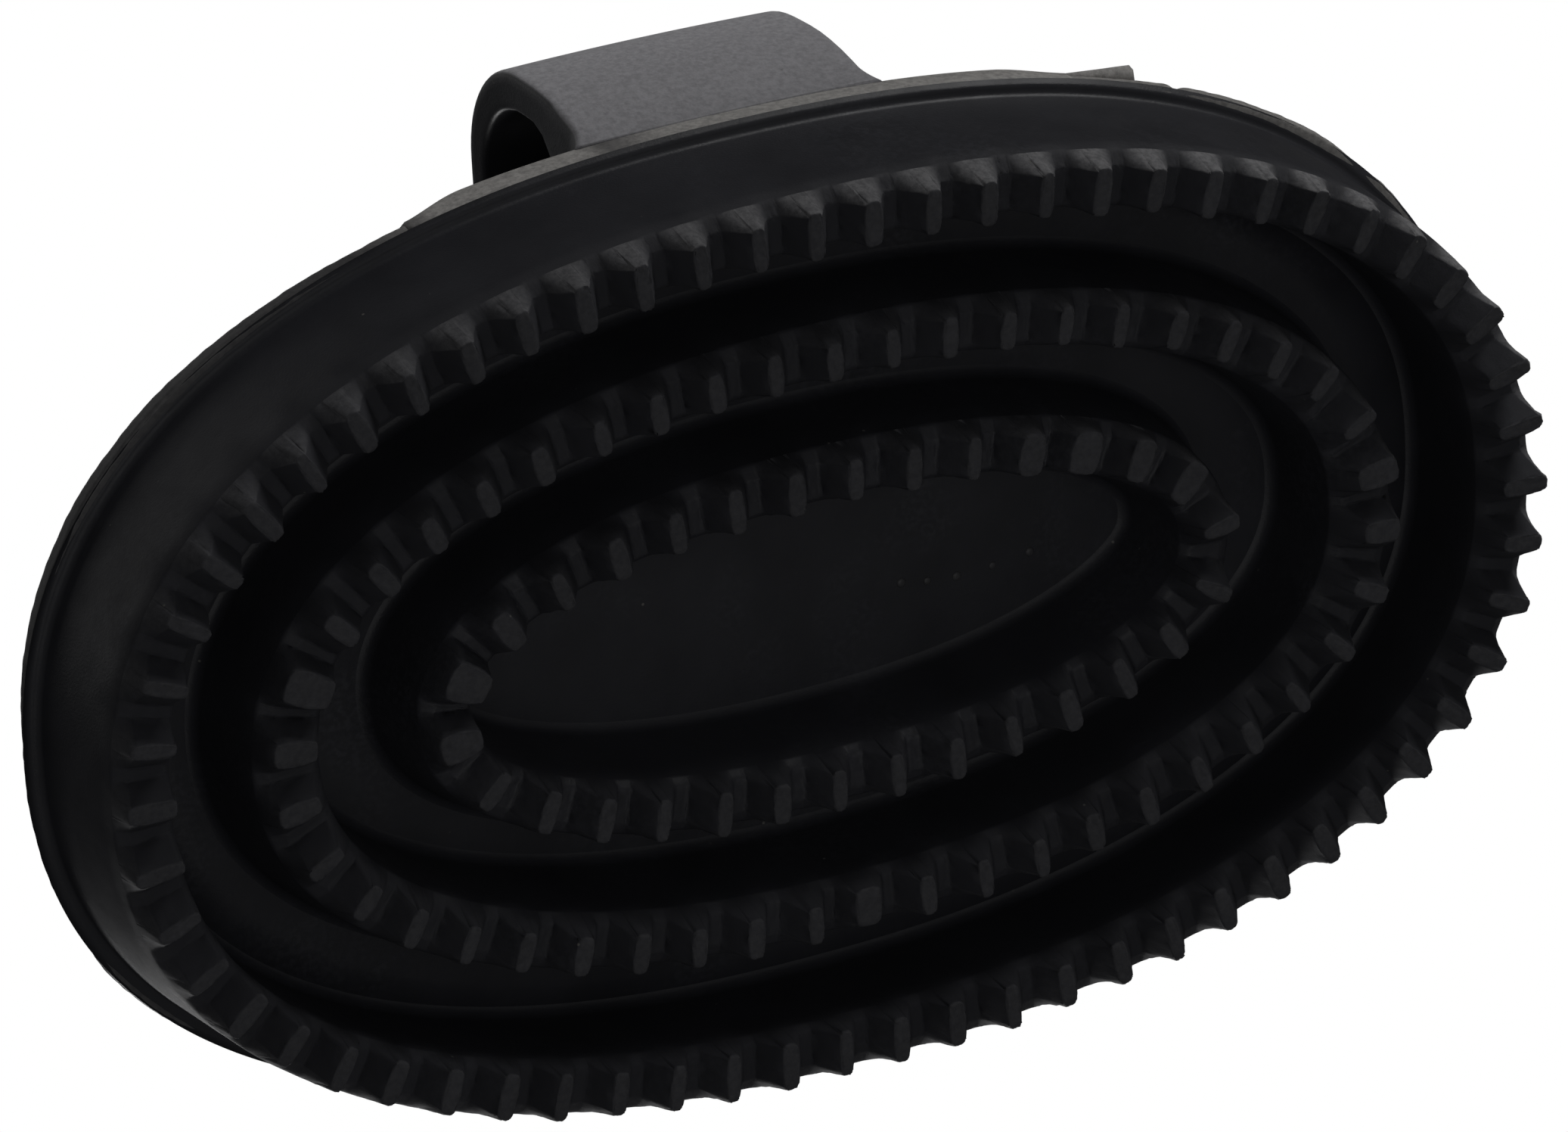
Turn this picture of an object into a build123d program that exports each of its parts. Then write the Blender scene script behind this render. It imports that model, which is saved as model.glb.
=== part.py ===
"""Oval rubber curry comb: three toothed oval ridges on a flanged back, with a hand strap.

The comb stands on its outer teeth at z = 0, +X along its length and +Z up through the strap.
The origin is at the middle of the plane that the teeth stand on. Millimetres.
"""
import math
import os
from collections import namedtuple
from build123d import *

# An oval of four tangent arcs: half length along X, half width along Y, radius of the two ends.
Oval = namedtuple("Oval", "half_length half_width end_radius")

# Overall body
RIM = Oval(82.5, 50.0, 45.5)
BODY_HEIGHT = 21.5
FLANGE_THICKNESS = 2.0
FLANGE_BEVEL = 0.6
VALLEY_DEPTH = 16.4

# Teeth, shared by all three ridges
TOOTH_HEIGHT = 3.3
TOOTH_TIP_WIDTH = 1.7
TOOTH_ROOT_WIDTH = 4.6
TIP_CORNER_RADIUS = 0.35
ROOT_CORNER_RADIUS = 0.5

# Each ridge: the line down the middle of its teeth, the ovals of its crest and of its foot,
# then its teeth: how many, how high their tips stand above z = 0, their length across the ridge
# at the tip and at the root, and the first tooth's place past the +X end, as a share of the pitch.
Ridge = namedtuple(
    "Ridge",
    "line crest_outer foot_outer crest_inner foot_inner teeth tip_z tip_length root_length start",
)
OUTER = Ridge(
    line=Oval(77.9, 44.3, 37.5),
    crest_outer=Oval(80.9, 47.6, 40.8),
    foot_outer=Oval(81.4, 48.7, 42.6),
    crest_inner=Oval(74.6, 42.0, 35.6),
    foot_inner=Oval(73.9, 41.4, 35.2),
    teeth=62,
    tip_z=0.0,
    tip_length=5.0,
    root_length=5.6,
    start=0.1,
)
MIDDLE = Ridge(
    line=Oval(61.9, 30.2, 22.5),
    crest_outer=Oval(64.9, 32.9, 25.2),
    foot_outer=Oval(66.2, 34.2, 26.5),
    crest_inner=Oval(57.9, 27.0, 19.6),
    foot_inner=Oval(57.0, 25.8, 19.0),
    teeth=46,
    tip_z=1.5,
    tip_length=4.3,
    root_length=5.0,
    start=0.4,
)
INNER = Ridge(
    line=Oval(43.3, 16.6, 11.2),
    crest_outer=Oval(46.2, 19.3, 13.9),
    foot_outer=Oval(47.5, 20.7, 15.2),
    crest_inner=Oval(40.5, 13.8, 8.8),
    foot_inner=Oval(39.5, 12.0, 7.5),
    teeth=30,
    tip_z=2.6,
    tip_length=4.5,
    root_length=5.0,
    start=0.7,
)
CREST_BEVEL_DEPTH = 0.9
CREST_BEVEL_WIDTH = 0.3

# Hand strap: two legs that lean out a little, joined by a crown with round corners
STRAP_ROOT_WIDTH = 32.5
STRAP_WIDTH = 31.0
LEG_THICKNESS = 4.8
CROWN_THICKNESS = 3.2
LEG_ROOT_REACH = 50.6
LEG_TOP_REACH = 52.4
LEG_TOP_Z = 39.5
STRAP_TOP_Z = 51.6
CORNER_RADIUS = 12.0
STRAP_EDGE_RADIUS = 0.7

# Thickened pads on the back that the strap legs grow out of
PAD_THICKNESS = 2.5
PAD_HALF_LENGTH = 37.0
PAD_INNER_HALF_LENGTH = 25.0
PAD_INNER_REACH = 40.0

FLANGE_Z = BODY_HEIGHT - FLANGE_THICKNESS
PAD_TOP_Z = BODY_HEIGHT + PAD_THICKNESS


def end_joint(oval):
    """Where the +X end arc of an oval meets the long side arc, in the quarter with +X and +Y."""
    length, width, radius = oval
    side_radius = ((length - radius) ** 2 + width**2 - radius**2) / (2 * (width - radius))
    share = radius / (side_radius - radius)
    return (length - radius) * (1 + share), (side_radius - width) * share


def oval_outline(oval):
    """Draw the four arcs of an oval in the current BuildLine, from the start of the +X end arc."""
    length, width, radius = oval
    x, y = end_joint(oval)
    ThreePointArc((x, -y), (length, 0), (x, y))
    ThreePointArc((x, y), (0, width), (-x, y))
    ThreePointArc((-x, y), (-length, 0), (-x, -y))
    ThreePointArc((-x, -y), (0, -width), (x, -y))


def oval_face(oval, height):
    """A filled oval at the given height."""
    with BuildSketch(Plane.XY.offset(height)) as face:
        with BuildLine():
            oval_outline(oval)
        make_face()
    return face.sketch


def grown(oval, distance):
    """The oval a fixed distance outside the given one, or inside it when negative."""
    return Oval(*(size + distance for size in oval))


def finish(builder, name):
    """Label one finished sub-part and write its file."""
    builder.part.label = name
    export_step(builder.part, f"parts/{name}.step")


def ridge_wall(ridge, foot_z):
    """An upright oval wall, drafted on both faces, with a small bevel round its outer crest."""
    crest_z = ridge.tip_z + TOOTH_HEIGHT
    crest = oval_face(grown(ridge.crest_outer, -CREST_BEVEL_WIDTH), crest_z)
    shoulder = oval_face(ridge.crest_outer, crest_z + CREST_BEVEL_DEPTH)
    foot = oval_face(ridge.foot_outer, foot_z)
    hollow_crest = oval_face(ridge.crest_inner, crest_z)
    hollow_floor = oval_face(ridge.foot_inner, VALLEY_DEPTH)
    with BuildPart() as wall:
        loft([crest, shoulder], ruled=True)
        loft([shoulder, foot], ruled=True)
        loft([hollow_crest, hollow_floor], ruled=True, mode=Mode.SUBTRACT)
        if foot_z > VALLEY_DEPTH:
            extrude(hollow_floor, amount=foot_z - VALLEY_DEPTH, mode=Mode.SUBTRACT)
    return wall


def tooth_places(ridge):
    """The seat of every tooth on the crest: equal steps along the line, +X along the ridge."""
    with BuildLine() as line:
        oval_outline(ridge.line)
    path = line.wire()
    x, y = end_joint(ridge.line)
    radius = ridge.line.end_radius
    end_distance = radius * math.atan2(y, x - (ridge.line.half_length - radius))
    crest_z = ridge.tip_z + TOOTH_HEIGHT
    places = []
    for number in range(ridge.teeth):
        distance = end_distance + (number + ridge.start) * path.length / ridge.teeth
        seat = path.position_at(distance % path.length, position_mode=PositionMode.LENGTH)
        along = path.tangent_at(distance % path.length, position_mode=PositionMode.LENGTH)
        places.append(Plane((seat.X, seat.Y, crest_z), x_dir=along, z_dir=(0, 0, -1)).location)
    return places


def ridge_teeth(ridge):
    """A ring of equal wedge teeth, evenly spaced along the ridge, each a separate solid."""
    with BuildPart() as tooth:
        with BuildSketch():
            RectangleRounded(TOOTH_ROOT_WIDTH, ridge.root_length, ROOT_CORNER_RADIUS)
        with BuildSketch(Plane.XY.offset(TOOTH_HEIGHT)):
            RectangleRounded(TOOTH_TIP_WIDTH, ridge.tip_length, TIP_CORNER_RADIUS)
        loft(ruled=True)
    with BuildPart() as teeth:
        with Locations(*tooth_places(ridge)):
            add(tooth.part)
    return teeth


os.makedirs("parts", exist_ok=True)

# Back plate: the oval rim flange and the skin behind it, one flat sheet
with BuildPart() as back_plate:
    add(oval_face(RIM, FLANGE_Z))
    extrude(amount=FLANGE_THICKNESS)
    chamfer(back_plate.edges().group_by(Axis.Z)[0], FLANGE_BEVEL)
finish(back_plate, "back_plate")

# Floor: the thick web between the ridges, which closes the valleys
with BuildPart() as valley_floor:
    add(oval_face(OUTER.foot_inner, VALLEY_DEPTH))
    extrude(amount=FLANGE_Z - VALLEY_DEPTH)
finish(valley_floor, "valley_floor")

# Ridges: the outer one is the skirt of the comb and reaches the flange
finish(ridge_wall(OUTER, FLANGE_Z), "outer_ridge")
finish(ridge_wall(MIDDLE, VALLEY_DEPTH), "middle_ridge")
finish(ridge_wall(INNER, VALLEY_DEPTH), "inner_ridge")

# Teeth
finish(ridge_teeth(OUTER), "outer_teeth")
finish(ridge_teeth(MIDDLE), "middle_teeth")
finish(ridge_teeth(INNER), "inner_teeth")

# Pads under the strap legs, one each side: a slice of the rim oval with slanted ends
for side, name in ((-1, "strap_pad_front"), (1, "strap_pad_rear")):
    with BuildPart() as pad:
        with BuildSketch(Plane.XY.offset(BODY_HEIGHT)):
            with BuildLine():
                oval_outline(RIM)
            make_face()
            with BuildLine():
                Polyline(
                    (-PAD_HALF_LENGTH, side * RIM.half_width),
                    (PAD_HALF_LENGTH, side * RIM.half_width),
                    (PAD_INNER_HALF_LENGTH, side * PAD_INNER_REACH),
                    (-PAD_INNER_HALF_LENGTH, side * PAD_INNER_REACH),
                    close=True,
                )
            make_face(mode=Mode.INTERSECT)
        extrude(amount=PAD_THICKNESS)
    finish(pad, name)

# Strap legs, one each side, wider at the root than at the top
for side, name in ((-1, "strap_leg_front"), (1, "strap_leg_rear")):
    with BuildPart() as leg:
        with BuildSketch(Plane.XY.offset(PAD_TOP_Z)):
            with Locations((0, side * (LEG_ROOT_REACH - LEG_THICKNESS / 2))):
                Rectangle(STRAP_ROOT_WIDTH, LEG_THICKNESS)
        with BuildSketch(Plane.XY.offset(LEG_TOP_Z)):
            with Locations((0, side * (LEG_TOP_REACH - CROWN_THICKNESS / 2))):
                Rectangle(STRAP_WIDTH, CROWN_THICKNESS)
        loft()
        upright_edges = leg.edges().filter_by(lambda edge: abs(edge.tangent_at(0.5).Z) > 0.9)
        fillet(upright_edges, STRAP_EDGE_RADIUS)
    finish(leg, name)

# Strap crown: the flat top of the loop with its two round corners, open below for the hand
crown_rise = STRAP_TOP_Z - LEG_TOP_Z
opening_rise = crown_rise - CROWN_THICKNESS
with BuildPart() as hand_space:
    with BuildSketch(Plane.YZ):
        with Locations((0, LEG_TOP_Z + opening_rise / 2)):
            Rectangle(2 * (LEG_TOP_REACH - CROWN_THICKNESS), opening_rise)
    extrude(amount=STRAP_WIDTH, both=True)
    fillet(hand_space.edges().filter_by(Axis.X).group_by(Axis.Z)[-1], CORNER_RADIUS - CROWN_THICKNESS)
with BuildPart() as strap_crown:
    with BuildSketch(Plane.YZ):
        with Locations((0, LEG_TOP_Z + crown_rise / 2)):
            Rectangle(2 * LEG_TOP_REACH, crown_rise)
    extrude(amount=STRAP_WIDTH / 2, both=True)
    fillet(strap_crown.edges().filter_by(Axis.X).group_by(Axis.Z)[-1], CORNER_RADIUS)
    add(hand_space.part, mode=Mode.SUBTRACT)
    rim_edges = strap_crown.faces().filter_by(Axis.X).edges()
    fillet(rim_edges.filter_by(lambda edge: edge.center().Z > LEG_TOP_Z + 0.1), STRAP_EDGE_RADIUS)
finish(strap_crown, "strap_crown")
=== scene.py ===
"""Rubber curry comb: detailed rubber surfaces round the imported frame, with a studio round them.

The comb is one rubber moulding. Its regions are separate closed pieces whose edges meet where the
surfaces are tangent, so that no seam shows. Shapes are worked out in millimetres, in the frame's
axes: +X along the comb, +Z from the teeth towards the hand strap, with the teeth standing on z = 0.
"""
import math
from collections import namedtuple

import bpy
import numpy as np
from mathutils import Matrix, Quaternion, Vector


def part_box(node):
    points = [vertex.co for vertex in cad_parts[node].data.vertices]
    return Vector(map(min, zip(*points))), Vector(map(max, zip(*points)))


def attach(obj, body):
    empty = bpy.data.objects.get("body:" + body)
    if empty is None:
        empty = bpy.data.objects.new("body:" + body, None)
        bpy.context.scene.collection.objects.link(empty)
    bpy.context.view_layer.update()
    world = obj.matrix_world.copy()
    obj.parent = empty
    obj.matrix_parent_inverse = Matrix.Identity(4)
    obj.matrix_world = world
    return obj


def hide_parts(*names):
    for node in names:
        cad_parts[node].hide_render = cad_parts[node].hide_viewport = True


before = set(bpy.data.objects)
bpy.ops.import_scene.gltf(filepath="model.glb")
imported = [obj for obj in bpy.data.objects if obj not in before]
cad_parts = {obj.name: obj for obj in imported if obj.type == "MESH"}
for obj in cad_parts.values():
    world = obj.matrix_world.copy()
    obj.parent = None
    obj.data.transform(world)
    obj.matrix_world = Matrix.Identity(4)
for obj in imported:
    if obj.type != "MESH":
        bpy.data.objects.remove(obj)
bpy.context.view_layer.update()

MM = 0.001
RNG = np.random.default_rng(62)


def span(node):
    """The lowest and highest corner of a CAD node, in millimetres."""
    low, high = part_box(node)
    return np.array(low) / MM, np.array(high) / MM


# Levels and outlines that the frame gives
BACK_LOW, BACK_HIGH = span("back_plate")
FLANGE_Z = BACK_LOW[2]
BACK_Z = BACK_HIGH[2]
VALLEY_Z = span("valley_floor")[0][2]
PAD_Z = span("strap_pad_front")[1][2]

# How square the ovals are: 2 is an ellipse
RIM_POWER = 2.38
RIDGE_POWER = 2.27


# ---------------------------------------------------------------- lines and meshes


OVAL_STEPS = 20000


def oval(half_length, half_width, power, count):
    """Points spaced evenly round a superellipse from its +X end towards +Y, and their normals.

    count is how many points, or the list of their places as shares of the way round. The third
    result is the length of the line.
    """
    angle = np.linspace(0, 2 * math.pi, OVAL_STEPS + 1)
    cosine, sine = np.cos(angle), np.sin(angle)
    x = half_length * np.sign(cosine) * np.abs(cosine) ** (2 / power)
    y = half_width * np.sign(sine) * np.abs(sine) ** (2 / power)
    distance = np.concatenate([[0], np.cumsum(np.hypot(np.diff(x), np.diff(y)))])
    places = np.asarray(count) if np.ndim(count) else np.arange(count) / count
    wanted = (places % 1) * distance[-1]
    points = np.column_stack([np.interp(wanted, distance, x), np.interp(wanted, distance, y)])
    normals = np.column_stack(
        [
            np.sign(points[:, 0]) * np.abs(points[:, 0] / half_length) ** (power - 1) / half_length,
            np.sign(points[:, 1]) * np.abs(points[:, 1] / half_width) ** (power - 1) / half_width,
        ]
    )
    normals /= np.linalg.norm(normals, axis=1)[:, None]
    return points, normals, distance[-1]


def rounded(corners, radii, steps, most=0.48):
    """A polyline with each inner corner replaced by an arc of its own radius and point count.

    No arc takes more than the share most of the lines beside it.
    """
    path = [np.array(corners[0], float)]
    turns = zip(corners, corners[1:], corners[2:], radii, steps)
    for before, corner, after, radius, count in turns:
        before, corner, after = (np.array(p, float) for p in (before, corner, after))
        back = before - corner
        ahead = after - corner
        back_length, ahead_length = np.linalg.norm(back), np.linalg.norm(ahead)
        back, ahead = back / back_length, ahead / ahead_length
        half = math.acos(np.clip(back @ ahead, -1, 1)) / 2
        cut = min(radius / math.tan(half), most * back_length, most * ahead_length)
        start, end = corner + back * cut, corner + ahead * cut
        centre_way = (back + ahead) / np.linalg.norm(back + ahead)
        reach = cut * math.tan(half)
        centre = corner + centre_way * math.hypot(cut, reach)
        first = math.atan2(*(start - centre)[::-1])
        turn = (math.atan2(*(end - centre)[::-1]) - first + math.pi) % (2 * math.pi) - math.pi
        for step in range(count + 1):
            angle = first + turn * step / count
            path.append(centre + reach * np.array([math.cos(angle), math.sin(angle)]))
    path.append(np.array(corners[-1], float))
    return np.array(path)


def rim_side(x, half_length, half_width):
    """How far out in Y an oval shaped like the rim reaches at x."""
    return half_width * (1 - np.abs(x / half_length) ** RIM_POWER) ** (1 / RIM_POWER)


def filled(path, inserts):
    """The path with extra points put evenly inside the segments that inserts names by index."""
    points = []
    for index, point in enumerate(path[:-1]):
        points.append(point)
        extra = inserts.get(index, 0)
        for step in range(1, extra + 1):
            points.append(point + (path[index + 1] - point) * step / (extra + 1))
    points.append(path[-1])
    return np.array(points)


def grid_piece(name, points, wear_and_sheen, node_names, material, poles=False):
    """A closed mesh from a grid of points: rows run round the piece, columns round its section.

    With poles, the section is open, and a flat face closes the piece at each of its two ends.
    """
    rows, columns = points.shape[:2]
    row = np.arange(rows)[:, None]
    column = np.arange(columns)[None, :]
    last = columns - 1 if poles else columns
    column = column[:, :last]
    next_row, next_column = (row + 1) % rows, (column + 1) % columns
    faces = np.stack(
        [
            row * columns + column,
            next_row * columns + column,
            next_row * columns + next_column,
            row * columns + next_column,
        ],
        axis=-1,
    ).reshape(-1, 4)
    faces = faces.tolist()
    if poles:
        faces.append([int(r) * columns for r in range(rows)][::-1])
        faces.append([int(r) * columns + columns - 1 for r in range(rows)])
    vertices = points.reshape(-1, 3)
    return solid_piece(name, vertices, faces, np.ravel(wear_and_sheen), node_names, material)


def tube_faces(rows, columns):
    """The side faces between rows of vertices that each run round a closed section."""
    faces = []
    for row in range(rows - 1):
        here, there = row * columns, (row + 1) * columns
        for column in range(columns):
            following = (column + 1) % columns
            faces.append([here + column, here + following, there + following, there + column])
    return faces


def solid_piece(name, vertices, faces, wear_and_sheen, node_names, material):
    """A smooth mesh object from millimetre points, riding on the comb's body.

    wear is one value per vertex, for the material: how pale it is painted, for scuffs and for
    painted sheen. node_names are the CAD nodes it stands for.
    """
    mesh = bpy.data.meshes.new(name)
    mesh.from_pydata((np.asarray(vertices) * MM).tolist(), [], faces)
    mesh.validate()
    mesh.polygons.foreach_set("use_smooth", [True] * len(mesh.polygons))
    attribute = mesh.attributes.new("wear_and_sheen", "FLOAT", "POINT")
    attribute.data.foreach_set("value", np.asarray(wear_and_sheen, np.float32))
    mesh.materials.append(material)
    piece = bpy.data.objects.new(name, mesh)
    bpy.context.scene.collection.objects.link(piece)
    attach(piece, "root")
    if node_names:
        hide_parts(*node_names)
    return piece


# ---------------------------------------------------------------- materials


# Noise scales of the rubber's marks, in cycles per metre
CLOUD_SCALE = 90
PATCH_SCALE = 55
DUST_SCALE = 1400
SCUFF_SCALE = 1500
SPECK_SCALE = 330
SPECK_ZONE_SCALE = 130
GLOSS_SCALE = 260
GRAIN_SCALE = 3600
UNEVEN_SCALE = 140
ROUGH_SCALE = 1100
# Depths of the fine moulded grain and of the coarser unevenness
GRAIN_DEPTH = 0.06 * MM
UNEVEN_DEPTH = 0.35 * MM
# The gloss of the tooth tips turns into that of the body between these heights
TIP_GLOSS_Z = 3.5 * MM
BODY_GLOSS_Z = 6.5 * MM
BLOOM_GAIN = 2.4
SPECK_COLOUR = (0.10, 0.097, 0.092)


def rubber(name, base, roughness, tip_roughness, grain, bloom, worn_and_sheen, worn_roughness, evenness):
    """Near-black moulded rubber: fine grain, a faint dusty bloom, and pale scuffs and painted sheen
    where wear is 1.

    tip_roughness is the roughness near z = 0, where the tooth tips are. bloom is how dusty it is,
    worn the pale colour of the scuffs and of the painted sheen, and evenness how even they are: 0
    spotty, 1 plain.
    """
    material = bpy.data.materials.new(name)
    material.use_nodes = True
    nodes, links = material.node_tree.nodes, material.node_tree.links
    shader = nodes["Principled BSDF"]
    place = nodes.new("ShaderNodeTexCoord").outputs["Object"]

    def noise(scale, detail, rough=0.5):
        node = nodes.new("ShaderNodeTexNoise")
        node.inputs["Scale"].default_value = scale
        node.inputs["Detail"].default_value = detail
        node.inputs["Roughness"].default_value = rough
        links.new(place, node.inputs["Vector"])
        return node.outputs["Fac"]

    def ramp(value, low, high, to_low=0.0, to_high=1.0):
        node = nodes.new("ShaderNodeMapRange")
        node.inputs["From Min"].default_value = low
        node.inputs["From Max"].default_value = high
        node.inputs["To Min"].default_value = to_low
        node.inputs["To Max"].default_value = to_high
        links.new(value, node.inputs["Value"])
        return node.outputs["Result"]

    def maths(operation, first, second):
        node = nodes.new("ShaderNodeMath")
        node.operation = operation
        for socket, value in zip(node.inputs, (first, second)):
            if isinstance(value, float):
                socket.default_value = value
            else:
                links.new(value, socket)
        return node.outputs["Value"]

    def mix(factor, first, second):
        node = nodes.new("ShaderNodeMix")
        node.data_type = "RGBA"
        links.new(factor, node.inputs["Factor"])
        for socket, value in zip((node.inputs[6], node.inputs[7]), (first, second)):
            if isinstance(value, tuple):
                socket.default_value = (*value, 1)
            else:
                links.new(value, socket)
        return node.outputs[2]

    # This attribute carries both real scuffs and painted sheen: the pale strap face, pad sides, rim
    # edge and outer tooth faces stand for reflected light
    attribute = nodes.new("ShaderNodeAttribute")
    attribute.attribute_name = "wear_and_sheen"
    wear_and_sheen = attribute.outputs["Fac"]

    # Colour: cloudy base, dusty bloom in patches, pale scuffs and painted sheen where the attribute
    # is high, and a few pale specks
    cloud = ramp(noise(CLOUD_SCALE, 3), 0.3, 0.7)
    colour = mix(cloud, tuple(v * 0.85 for v in base), tuple(v * 1.15 for v in base))
    patch = ramp(noise(PATCH_SCALE, 4, 0.6), 0.5, 0.72)
    dust = ramp(noise(DUST_SCALE, 2), 0.42, 0.66)
    patches = maths("MULTIPLY", patch, dust)
    dusty = tuple(v * BLOOM_GAIN for v in base)
    colour = mix(maths("MULTIPLY", patches, bloom), colour, dusty)
    scuff_and_sheen = maths("MULTIPLY", wear_and_sheen, ramp(noise(SCUFF_SCALE, 4, 0.7), 0.36, 0.62, evenness, 1.0))
    colour = mix(scuff_and_sheen, colour, worn_and_sheen)
    specks = nodes.new("ShaderNodeTexVoronoi")
    specks.inputs["Scale"].default_value = SPECK_SCALE
    specks.inputs["Randomness"].default_value = 1.0
    links.new(place, specks.inputs["Vector"])
    speck = ramp(specks.outputs["Distance"], 0.035, 0.06, 1.0, 0.0)
    rare = ramp(noise(SPECK_ZONE_SCALE, 1), 0.56, 0.62)
    colour = mix(maths("MULTIPLY", speck, rare), colour, SPECK_COLOUR)
    links.new(colour, shader.inputs["Base Color"])

    # Gloss: satin and cloudy, rougher at the tooth tips and on the scuffs and painted sheen
    height = nodes.new("ShaderNodeSeparateXYZ")
    links.new(place, height.inputs["Vector"])
    level = ramp(height.outputs["Z"], TIP_GLOSS_Z, BODY_GLOSS_Z, tip_roughness, roughness)
    satin = maths("ADD", level, ramp(noise(GLOSS_SCALE, 5, 0.6), 0.25, 0.75, -0.07, 0.08))
    rough = nodes.new("ShaderNodeMix")
    links.new(scuff_and_sheen, rough.inputs["Factor"])
    links.new(satin, rough.inputs[2])
    rough.inputs[3].default_value = worn_roughness
    links.new(rough.outputs[0], shader.inputs["Roughness"])
    shader.inputs["Specular IOR Level"].default_value = 0.18

    # Relief: fine moulded grain over soft unevenness, coarser on the scuffs and painted sheen
    fine = nodes.new("ShaderNodeBump")
    fine.inputs["Strength"].default_value = grain
    fine.inputs["Distance"].default_value = GRAIN_DEPTH
    links.new(noise(GRAIN_SCALE, 3, 0.6), fine.inputs["Height"])
    coarse = nodes.new("ShaderNodeBump")
    coarse.inputs["Strength"].default_value = 0.5
    coarse.inputs["Distance"].default_value = UNEVEN_DEPTH
    soft = maths("MULTIPLY", noise(UNEVEN_SCALE, 3), 0.6)
    scuffed = maths("MULTIPLY", maths("MULTIPLY", noise(ROUGH_SCALE, 4, 0.7), wear_and_sheen), 0.4)
    uneven = maths("ADD", soft, scuffed)
    links.new(uneven, coarse.inputs["Height"])
    links.new(fine.outputs["Normal"], coarse.inputs["Normal"])
    links.new(coarse.outputs["Normal"], shader.inputs["Normal"])
    return material


BASE = (0.0210, 0.0213, 0.0248)
BODY = rubber(
    "body_rubber",
    BASE,
    roughness=0.36,
    tip_roughness=0.36,
    grain=0.35,
    bloom=0.5,
    worn_and_sheen=(0.335, 0.324, 0.310),
    worn_roughness=0.66,
    evenness=0.6,
)
TEETH = rubber(
    "tooth_rubber",
    BASE,
    roughness=0.40,
    tip_roughness=0.8,
    grain=0.5,
    bloom=0.3,
    worn_and_sheen=(0.300, 0.296, 0.300),
    worn_roughness=0.8,
    evenness=0.5,
)
# The strap's pale colour, laid on its outer face, is mostly a painted sheen
STRAP = rubber(
    "strap_rubber",
    BASE,
    roughness=0.42,
    tip_roughness=0.42,
    grain=0.5,
    bloom=0.3,
    worn_and_sheen=(0.450, 0.443, 0.463),
    worn_roughness=0.6,
    evenness=0.72,
)


# ---------------------------------------------------------------- toothed ridges

TOOTH_HEIGHT = 3.3
TIP_HALF = 0.85
ROOT_HALF = 2.55
LEAST_NOTCH_HALF = 0.4
# Corner radii of a tooth seen from outside the ridge: at its root and at its tip
TOOTH_RADII = (0.5, 0.42)
# How far the bevel round the crest runs towards the back, and the radius where it ends
SHOULDER_DROP = 0.9
SHOULDER_RADIUS = 0.7
# Radius of the crest's edges in the notches, and how much smaller it is at the tips
EDGE_RADIUS = 0.8
EDGE_SHARPENING = 0.45
# How far a ridge's feet run on into the sheets that they stand on
SEAM = 0.12
# Spreads of the random differences between teeth
HEIGHT_SPREAD = (-0.16, 0.08)
TIP_HALF_SPREAD = (-0.12, 0.12)
LEAN_SPREAD = (-0.14, 0.14)
TILT_SPREAD = (-0.14, 0.14)
GROWTH_SPREAD = (-0.25, 0.15)
SKEW_SPREAD = (-0.1, 0.1)
# The corners of each tip draw in by this much, and it narrows towards its outer and inner end over
# a length and by a share
TIP_CORNER_PULL = 0.35
OUTER_TAPER = (2.0, 0.22)
INNER_TAPER = (1.6, 0.15)
# How far the notches' edges stand in from the teeth, outside and inside the ridge
NOTCH_INSET_OUT = 1.35
NOTCH_INSET_IN = 0.6
# Points in each arc of a ridge's section, from its outer foot to its inner foot, and the points put
# between them, by the index of the point before
ARC_STEPS = (4, 2, 3, 3, 2, 5)
SECTION_INSERTS = {5: 2, 8: 2, 12: 6, 16: 1, 19: 3, 25: 1}
# Columns of that section: the top, and the outer face between the shoulder and the top
TOP_COLUMNS = slice(15, 26)
FACET_COLUMNS = slice(10, 15)
# Wear of the tips, which starts at this share of the tooth's height
TIP_WEAR = 0.07
TIP_WEAR_START = 0.955
TIP_WEAR_BLEND = 0.03
# Random unevenness of the trimmed tips, and of the teeth's skin
TIP_GRAIN = 0.035
TOOTH_GRAIN = 0.03

# One row of a ridge: its place along and up its tooth, and how that tooth differs from the rest
Row = namedtuple("Row", "along rise height tip_half lean tilt grow_out grow_in skew")


def tooth_profile(pitch, height, tip_half, lean):
    """Distance along the ridge and height of each row over one tooth and half of each notch."""
    root_half = min(ROOT_HALF + max(0.0, tip_half - TIP_HALF) * 0.5, pitch / 2 - LEAST_NOTCH_HALF)
    sides = []
    for way in (-1, 1):
        corners = [
            (way * pitch / 2, 0.0),
            (way * root_half, 0.0),
            (way * tip_half + lean, height),
            (lean, height),
        ]
        path = rounded(corners, TOOTH_RADII, (5, 5))
        sides.append(filled(path, {0: 1, 6: 3, 12: 1}))
    left, right = sides
    return np.vstack([left, right[::-1][1:-1]])


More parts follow.
